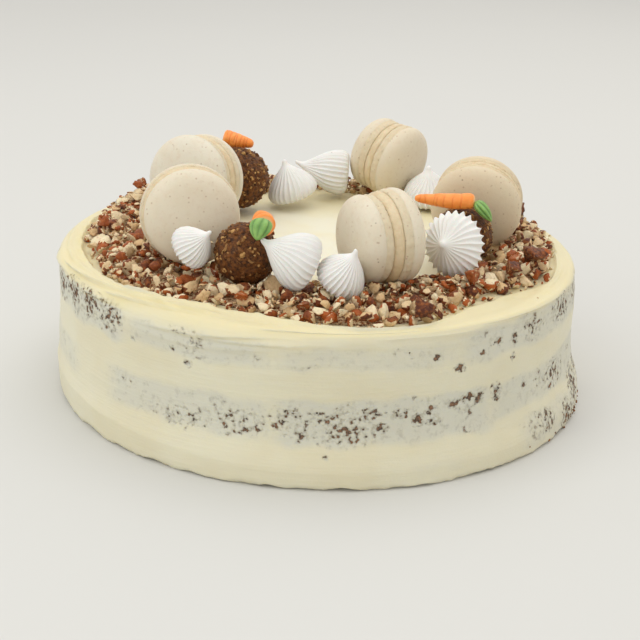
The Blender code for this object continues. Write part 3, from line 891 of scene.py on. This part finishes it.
def chip_master(number, dice, detail=2):
    """One chopped piece: a lumpy kernel in its skin, sliced flat on some sides, where it is ivory."""
    chip = basic(bpy.ops.mesh.primitive_ico_sphere_add, subdivisions=detail, radius=1.0)
    points = points_of(chip)
    lumps = 0.30 * clouds(points, 0.8, number * 3.7) + 0.42 * np.abs(clouds(points, 0.5, number * 5.3))
    points *= (1 + lumps)[:, None]
    points *= np.array([dice.uniform(1.0, 1.35), dice.uniform(0.85, 1.0), dice.uniform(0.7, 0.95)])
    sliced = np.zeros(len(points))
    for _ in range(dice.choice((2, 3, 4, 4))):
        direction = np.array(Vector([dice.gauss(0, 1) for _ in range(3)]).normalized())
        over = np.clip(points @ direction - dice.uniform(0.20, 0.60), 0, None)
        sliced[over > 0] = 1
        points -= np.outer(over * 0.94, direction)
    points *= (1 + 0.20 * clouds(points, 0.27, number * 1.9))[:, None]
    points -= (points.min(0) + points.max(0)) / 2
    points /= np.ptp(points, axis=0).max()
    faces = np.array([face.vertices[:] for face in chip.data.polygons])
    skinned = (sliced[faces].mean(axis=1) < 0.5).astype(float)
    bpy.data.objects.remove(chip)
    return points, faces, skinned


def random_turn(dice, flatness=1.0):
    """A turn with the piece's flat side up or down more often than on edge."""
    spin = Matrix.Rotation(dice.uniform(0, math.tau), 3, "Z")
    angle = dice.gauss(0, 1) * flatness
    lean = Matrix.Rotation(angle, 3, Vector((dice.gauss(0, 1), dice.gauss(0, 1), 0)).normalized())
    over = Matrix.Rotation(math.pi if dice.random() < 0.42 else 0, 3, "X")
    return np.array(lean @ spin @ over)


def make_date_balls(material):
    """Rolled balls of chopped dates: lumpy, pitted, with chopped bits half sunk in them."""
    dice = random.Random(31)
    masters = [chip_master(50 + number, dice) for number in range(6)]
    for number, name in enumerate(("date_ball_front", "date_ball_back", "date_ball_right")):
        low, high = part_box(name)
        radius = (high.z - low.z) / 2
        ball = basic(bpy.ops.mesh.primitive_ico_sphere_add, subdivisions=6, radius=radius)
        ball.name = name + "_paste"
        points = points_of(ball)
        lumps = 0.040 * clouds(points, 0.0070, number * 3.0) + 0.030 * clouds(points, 0.0028, number * 5.0)
        lumps += 0.018 * clouds(points, 0.0013, number * 7.0)
        lumps -= 0.035 * ease(clouds(points, 0.0024, number * 11.0), 0.30, 0.55)
        shape(ball, points * (0.965 + lumps)[:, None])
        ball.data.shade_smooth()
        seat(ball, name, np.eye(3))
        keep(ball, "tint", np.zeros(len(points)))
        finished(ball, material, "date_ball", name)

        pile = Pile()
        for _ in range(400):
            away = np.array([dice.gauss(0, 1) for _ in range(3)])
            away /= np.linalg.norm(away)
            size = (1.1 + 2.6 * dice.random() ** 1.7) * MM
            bit, faces, _ = dice.choice(masters)
            placed = (bit * size * np.array([1.0, 1.0, 0.75])) @ random_turn(dice, 2.0).T
            placed += away * (radius * 0.985 - 0.36 * size) + middle_of(name)
            pile.add(placed, faces, tint=dice.choice((0.0, 0.1, 0.45, 0.6, 0.8, 1.0)))
        finished(pile.piece(name + "_bits"), material, "date_ball")


# Both ends from the middle of the node's box, tip and crown or stalk and tip, then the radius, all in mm
CARROTS = {
    "carrot_front": ((-2.14, 6.49, -1.56), (0.66, -6.31, -0.76), 4.5),
    "carrot_back": ((7.23, -0.32, -2.46), (-7.07, 0.08, 0.94), 3.9),
    "carrot_right": ((-12.25, 2.34, -0.48), (12.25, -1.06, 0.12), 3.3),
}
LEAVES = {
    "carrot_leaf_front": ((0.76, 2.0, 3.84), (-1.64, -2.8, -3.16), 4.2),
    "carrot_leaf_back": ((1.95, -0.04, 3.17), (-2.55, 0.96, -3.83), 3.6),
    "carrot_leaf_right": ((-4.69, -0.25, 5.01), (2.31, -1.25, -2.79), 3.6),
}

# Outlines as shares of the radius and the length
CROWN = (
    (0.98, 0.915), (0.93, 0.94), (0.85, 0.962), (0.72, 0.981), (0.54, 0.993), (0.34, 0.999), (0.16, 1),
    (0, 1),
)
LEAF = (
    (0, 0), (0.35, 0.005), (0.58, 0.03), (0.74, 0.08), (0.87, 0.15), (0.96, 0.23), (1, 0.32), (0.99, 0.42),
    (0.94, 0.52), (0.85, 0.62), (0.73, 0.72), (0.58, 0.81), (0.4, 0.89), (0.22, 0.95), (0, 1),
)


def lay_between(piece, node, first, last):
    """Turns a piece drawn up the z axis to run between two points, and puts it in place."""
    line = Vector(last) - Vector(first)
    shape(piece, points_of(piece) @ toward(line).T + np.array(first) * MM + middle_of(node))


def make_carrots(material):
    """Kneaded carrots, scored across here and there."""
    for number, (name, (tip, crown, radius)) in enumerate(CARROTS.items()):
        length = (Vector(crown) - Vector(tip)).length
        outline = [(0.0, 0.0), (0.20, 0.004), (0.34, 0.02), (0.46, 0.055)]
        steps = 60
        for step in range(1, steps):
            share = 0.055 + (0.90 - 0.055) * step / steps
            outline.append((0.46 + 0.54 * math.sin(math.pi / 2 * min(1, share / 0.80)) ** 1.1, share))
        carrot = turned(name + "_fondant", (*outline, *CROWN), 48, radius * MM, length * MM)
        points = points_of(carrot)
        turning, _ = polar(points)
        up = points[:, 2] / (length * MM)
        groove = np.zeros(len(points))
        dice = random.Random(40 + number)
        for score in range(8):
            place = 0.08 + 0.78 * (score + dice.uniform(-0.3, 0.3)) / 7
            start = dice.uniform(-math.pi, math.pi)
            reach = dice.uniform(1.6, 3.1)
            offset = np.abs((turning - start + math.pi) % math.tau - math.pi)
            line = place + 0.012 * np.sin(turning * 2 + start)
            groove = np.maximum(groove, bell(up, line, 0.22 / length) * ease(reach - offset, 0, 0.4))
        lump = 1 + 0.08 * clouds(points, 0.004, number * 4.0) - 0.065 * groove
        points[:, :2] *= lump[:, None] * 0.985
        points[:, 1] += 0.25 * MM * np.sin(up * 5 + number)
        shape(carrot, points)
        lay_between(carrot, name, tip, crown)
        # The scored lines are painted as shade by the fondant finish
        keep(carrot, "groove", groove)
        # The cut crown is painted paler, partly as a painted highlight
        keep(carrot, "crown", ease(up, 0.965, 0.995))
        finished(carrot, material, "carrot", name)


def make_leaves(material):
    """Piped leaves: a fan of soft ribs that close to a point."""
    for name, (stalk, tip, radius) in LEAVES.items():
        length = (Vector(tip) - Vector(stalk)).length
        leaf = turned(name + "_fondant", LEAF, 96, radius * MM, length * MM)
        points = points_of(leaf)
        turning, _ = polar(points)
        up = points[:, 2] / (length * MM)
        rib = np.abs(np.cos(3.5 * turning)) ** 0.8
        grow = 1 + 0.24 * (rib - 0.6) * ease(-up, -0.98, -0.7) * ease(up, 0.0, 0.12)
        points[:, 0] *= grow
        points[:, 1] *= grow * 0.64
        points[:, 1] += 0.35 * MM * np.sin(up * math.pi)
        shape(leaf, points)
        lay_between(leaf, name, stalk, tip)
        # The grooves between the ribs are painted as shade by the fondant finish
        keep(leaf, "groove", (1 - rib) * ease(-up, -0.98, -0.8))
        keep(leaf, "crown", np.zeros(len(points)))
        finished(leaf, material, "leaf", name)


# ---------------------------------------------------------------- pecans


class Heap:
    """The height of what already lies on the top of the cake, on a fine grid."""

    CELL = 0.5 * MM
    HALF = 118 * MM

    def __init__(self, floor):
        count = int(2 * self.HALF / self.CELL) + 1
        self.height = np.full((count, count), floor)

    def window(self, x, y, radius):
        """The cells of a square round a place."""
        low_x, high_x, low_y, high_y = (
            int((place + reach + self.HALF) / self.CELL) for place in (x, y) for reach in (-radius, radius)
        )
        return slice(low_x, high_x + 2), slice(low_y, high_y + 2)

    def drop(self, points):
        """How far up the points have to go to lie on the heap, sunk a little among the pieces below."""
        cells = np.round((points[:, :2] + self.HALF) / self.CELL).astype(int)
        gaps = np.sort(self.height[cells[:, 0], cells[:, 1]] - points[:, 2])
        return gaps[int(0.93 * len(gaps))]

    def settle(self, points):
        """Raises the heap under a piece to a low dome as high as the piece."""
        radius = 0.45 * max(np.ptp(points[:, 0]), np.ptp(points[:, 1]))
        centre = (points.min(0) + points.max(0)) / 2
        window = self.window(centre[0], centre[1], radius)
        patch = self.height[window]
        xs, ys = (side.start + np.arange(count) for side, count in zip(window, patch.shape))
        xs, ys = xs[:, None] * self.CELL - self.HALF, ys[None, :] * self.CELL - self.HALF
        away = np.hypot(xs - centre[0], ys - centre[1]) / radius
        cap = np.where(away < 1, points[:, 2].max() - 0.9 * MM * away**2, -1.0)
        self.height[window] = np.maximum(patch, cap)


def make_core(material, bed):
    """The low middle of the ring, which the loose pieces hide."""
    rows = ((0, 0), (0.1, 0.2), (0.3, 0.32), (0.5, 0.34), (0.7, 0.32), (0.9, 0.2), (1, 0), (0.5, 0), (0, 0))
    spacing = 0.1 * MM
    drawn = [((80 + share) * MM, spacing * number) for number, (share, _) in enumerate(rows[:-1])]
    core = turned("pecan_core", drawn + [(80 * MM, 0.0)], 180)
    points = points_of(core)
    turn_at, _ = polar(points)
    azimuth = np.degrees(turn_at)
    across, raised = np.array(rows)[np.round(points[:, 2] / spacing).astype(int)].T
    inner = round_the_cake(azimuth, RING, 2) + 4
    outer = round_the_cake(azimuth, RING, 1) - 6
    tall = round_the_cake(azimuth, RING, 3) - 2.5
    radius = (inner + (outer - inner) * across) * MM
    points[:, 0] = TOP_LEAN + radius * np.cos(turn_at)
    points[:, 1] = radius * np.sin(turn_at)
    points[:, 2] = bed + raised * tall * MM
    points[:, 2] *= 1 + 0.004 * clouds(points, 0.004, 2.0) * (raised > 0)
    tree = search_tree(TOPPINGS)
    for index in np.nonzero(raised > 0)[0]:
        x, y, z = points[index]
        hit = tree.ray_cast(Vector((x, y, bed - 4 * MM)), UP)[0]
        near = tree.find_nearest(Vector((x, y, z)), 3 * MM)[0]
        if near is not None or (hit is not None and hit.z < z + 1.5 * MM):
            points[index, 2] = bed + 0.2 * MM
    shape(core, points)
    keep(core, "skin", np.full(len(points), 0.5))
    keep(core, "tint", np.full(len(points), 0.55))
    finished(core, material, "pecans")
    return points[raised > 0]


def make_pecans(material):
    """The ring of chopped nuts: a low core, then real pieces dropped one by one on to it."""
    dice = random.Random(7)
    masters = [chip_master(number, dice) for number in range(18)]
    crumbs = [chip_master(number, dice, 1) for number in range(30, 42)]
    halves = [chip_master(number, dice, 3) for number in range(42, 46)]
    tree = search_tree(TOPPINGS)
    bed = CAKE_TOP - 0.5 * MM
    heap = Heap(bed)
    for point in make_core(material, bed):
        window = heap.window(point[0], point[1], 2.0 * MM)
        heap.height[window] = np.maximum(heap.height[window], point[2] - 0.6 * MM)
    pile = Pile()

    def lay(size, radius, azimuth, tallest, skin_share=0.0):
        points, faces, skinned = dice.choice(halves if skin_share else masters if size > 3.3 else crumbs)
        size *= MM
        stretch = np.array([dice.uniform(0.85, 1.15), dice.uniform(0.85, 1.15), dice.uniform(0.8, 1.05)])
        placed = (points * size * stretch) @ random_turn(dice, 1.2).T
        placed += around_axis(radius * MM, math.radians(azimuth), 0.0)
        placed[:, 2] += heap.drop(placed)
        if placed[:, 2].max() > bed + tallest * MM + 0.32 * size:
            return
        middle = Vector((placed.min(0) + placed.max(0)) / 2)
        near, _, _, distance = tree.find_nearest(middle, size)
        if near is not None:
            if distance < 0.2 * size or any(inside(tree, Vector(point)) for point in placed):
                return
        heap.settle(placed)
        pile.add(placed, faces, skin=np.maximum(skinned, skin_share), tint=dice.random())

    # Big pieces first, then ones that fill the gaps; the large skinned ones last, on top
    for smallest, largest, count in SIZES:
        for _ in range(count):
            azimuth = dice.uniform(-180, 180)
            outer = round_the_cake(azimuth, RING, 1) + dice.gauss(0, 0.7)
            inner = round_the_cake(azimuth, RING, 2) + dice.gauss(0, 2.0)
            across = dice.betavariate(1.15, 1.0)
            size = dice.uniform(smallest, largest)
            radius = inner + (outer - 0.4 * size - inner) * across
            bank = min(1.0, 3.2 * (1 - across) + 0.35) * min(1.0, 2.5 * across + 0.45)
            lay(size, radius, azimuth, round_the_cake(azimuth, RING, 3) * bank)
    for azimuth, radius, size in LOBES:
        lay(size, radius, azimuth, 20, 0.6)
    pecans = pile.piece("pecan_pieces")
    pecans.data.shade_smooth()
    finished(pecans, material, "pecans", "pecan_ring")


# Crumbs of nut, in mm: beside one meringue and one date ball, from the middle of its box, and on the rim
ON_MERINGUE = ((3.6, 9.8, 6.1, 3.0), (5.9, 7.8, 6.1, 2.2), (7.9, 5.2, 4.1, 1.9), (9.7, 1.6, 2.1, 1.6))
BY_DATE_BALL = ((9.9, 4.6, 3.0), (7.9, 6.6, 2.2), (11.6, 2.1, 2.0), (13.5, 5.1, 1.6))
ON_RIM = ((-35.7, 108.3, 0.9), (-150, 105.5, 1.0), (-121, 104.0, 1.1), (12, 108.0, 1.3), (75, 107.0, 1.2))


def make_loose_bits(pecan_material, crumb_material):
    """Nut crumbs that fell on a meringue, a date ball and the rim, and sponge crumbs at the foot."""
    dice = random.Random(17)
    masters = [chip_master(80 + number, dice) for number in range(4)]
    nuts = []
    meringue = search_tree(["meringue_front_left"])
    for x, y, z, size in ON_MERINGUE:
        place = middle_of("meringue_front_left") + np.array([x, y, z]) * MM
        nuts.append((meringue.find_nearest(Vector(place))[0], size))
    tree = search_tree(TOPPINGS)
    for x, y, size in BY_DATE_BALL:
        above = middle_of("date_ball_front") + np.array([x, y, 55]) * MM
        hit = tree.ray_cast(Vector(above), -UP)[0]
        if hit is not None:
            nuts.append((hit + 0.25 * size * MM * UP, size))
    for azimuth, radius, size in ON_RIM:
        nuts.append((around_axis(radius * MM, math.radians(azimuth), CAKE_TOP + 0.5 * MM), size))
    sponge = []
    for _ in range(60):
        azimuth = math.radians(dice.choice((-24, -24, -14, 60, 130)) + dice.gauss(0, 7))
        radius = FOOT_RADIUS - dice.uniform(0.5, 1.6) * MM
        place = (radius * math.cos(azimuth), radius * math.sin(azimuth), dice.uniform(0.5, 4.0) * MM)
        sponge.append((place, dice.uniform(0.5, 1.4)))
    for name, places, material, slot in (
        ("fallen_nuts", nuts, pecan_material, "pecans"), ("foot_crumbs", sponge, crumb_material, "sponge"),
    ):
        pile = Pile()
        for place, size in places:
            bit, faces, skinned = dice.choice(masters)
            placed = (bit * size * MM) @ random_turn(dice, 2.0).T + np.array(place)
            pile.add(placed, faces, skin=skinned, tint=0.5)
        finished(pile.piece(name), material, slot)


def inside(tree, point):
    """Whether the point is inside one of the tree's closed solids."""
    hit, normal, _, _ = tree.ray_cast(point, UP)
    return hit is not None and normal.z > 0


# ---------------------------------------------------------------- camera and light

PITCH = 0.3625
ROLL = 0.0387
TARGET = Vector((-0.00053, 0, 0.02464))
DISTANCE = 0.58303
SENSOR_WIDTH = 36
FOCAL_LENGTH = 73.125


def set_camera():
    camera = bpy.data.objects.new("camera", bpy.data.cameras.new("camera"))
    bpy.context.scene.collection.objects.link(camera)
    back = Vector((0, -math.cos(PITCH), math.sin(PITCH)))
    right = Vector((1, 0, 0))
    up = Vector((0, math.sin(PITCH), math.cos(PITCH)))
    across = right * math.cos(ROLL) + up * math.sin(ROLL)
    upright = up * math.cos(ROLL) - right * math.sin(ROLL)
    turn = Matrix((across, upright, back)).transposed().to_4x4()
    camera.matrix_world = Matrix.Translation(TARGET + back * DISTANCE) @ turn
    camera.data.sensor_width = SENSOR_WIDTH
    camera.data.lens = FOCAL_LENGTH
    camera.data.clip_start = 0.01
    bpy.context.scene.camera = camera


def add_light(name, place, size, power, colour):
    """A square lamp that faces the cake."""
    lamp = bpy.data.lights.new(name, "AREA")
    lamp.size = size
    lamp.energy = power
    lamp.color = colour
    light = bpy.data.objects.new(name, lamp)
    bpy.context.scene.collection.objects.link(light)
    light.location = place
    light.rotation_mode = "QUATERNION"
    light.rotation_quaternion = (Vector(place) - Vector((0, 0, 0.04))).to_track_quat("Z", "Y")


def set_light():
    world = bpy.data.worlds.new("studio")
    bpy.context.scene.world = world
    world.use_nodes = True
    backdrop = world.node_tree.nodes["Background"]
    backdrop.inputs["Color"].default_value = (1.0, 0.985, 0.955, 1.0)
    backdrop.inputs["Strength"].default_value = 0.86
    add_light("window", (-0.90, -0.65, 1.0), 1.1, 4.9, (0.90, 0.96, 1.0))
    add_light("ceiling", (0.1, 0.15, 1.3), 1.1, 4.4, (1.0, 0.995, 0.98))
    add_light("back", (0.6, 1.0, 1.0), 1.0, 1.6, (1.0, 0.98, 0.93))
    bpy.context.scene.view_settings.view_transform = "Standard"


def make_floor():
    floor = basic(bpy.ops.mesh.primitive_plane_add, size=12)
    floor.name = "floor"
    floor.data.materials.append(floor_finish())


# ---------------------------------------------------------------- the whole


def dress_layers(crumb, filling):
    """The layers inside the coat keep their solids and get their crumb and cream."""
    for name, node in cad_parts.items():
        if name.startswith(("sponge_", "filling_")):
            node.data.materials.clear()
            node.data.materials.append(crumb if name.startswith("sponge_") else filling)


set_camera()
set_light()
make_floor()
crumb_look = crumb_finish()
pecan_look = pecan_finish()
orange = fondant_finish("orange_fondant", (253, 158, 74), (247, 143, 56), (222, 114, 42), (248, 200, 142))
green = fondant_finish("green_fondant", (142, 186, 100), (118, 164, 80), (66, 104, 46), (142, 186, 100))
dress_layers(crumb_look, filling_finish("layer_filling", (236, 226, 190), (228, 216, 176)))
make_coat(cream_finish())
make_macarons(shell_finish(), filling_finish("macaron_cream", (222, 203, 168), (211, 189, 150)))
make_meringues(meringue_finish())
make_date_balls(date_finish())
make_carrots(orange)
make_leaves(green)
make_pecans(pecan_look)
make_loose_bits(pecan_look, crumb_look)
